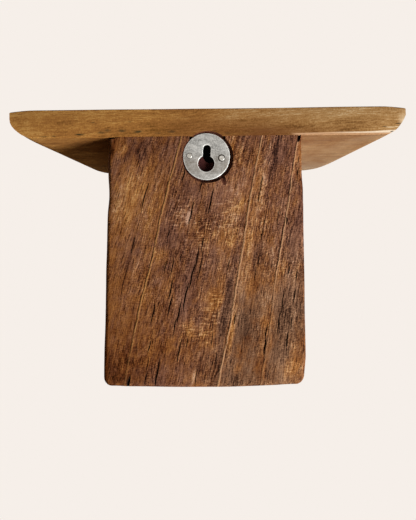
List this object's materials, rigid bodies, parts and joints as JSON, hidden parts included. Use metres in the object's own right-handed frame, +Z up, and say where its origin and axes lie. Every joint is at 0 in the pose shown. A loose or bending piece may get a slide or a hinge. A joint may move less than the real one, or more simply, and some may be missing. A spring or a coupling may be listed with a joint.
{
  "type": "wall bracket shelf",
  "caption": "Small wooden wall shelf: a tapered board on a solid reclaimed-timber bracket, hung on a wall screw by a round steel keyhole plate let into its back.",
  "frame": {"origin": "the hanging point: the middle of the keyhole slot's upper end, on the wall plane", "axes": "+Z up, +X along the wall, +Y out of the back towards the wall, so the shelf comes forward along -Y"},
  "size_m": [0.25, 0.145, 0.1753],
  "materials": {
    "shelf_wood": "waxed, golden brown",
    "block_wood": "waxed, dark reclaimed timber with cracks",
    "plug_wood": "waxed",
    "plate_steel": "dull mottled zinc",
    "pin_steel": "plain",
    "screw_steel": "yellow zinc"
  },
  "bodies": {
    "root": {"shelf_board": "shelf_wood", "bracket_block": "block_wood", "keyhole_plate": "plate_steel", "plate_pin_left": "pin_steel", "plate_pin_right": "pin_steel", "shelf_screw_back_left": "screw_steel", "shelf_screw_back_right": "screw_steel", "shelf_screw_front_left": "screw_steel", "shelf_screw_front_right": "screw_steel", "screw_plug_back_left": "plug_wood", "screw_plug_back_right": "plug_wood", "screw_plug_front_left": "plug_wood", "screw_plug_front_right": "plug_wood"}
  },
  "joints": []
}
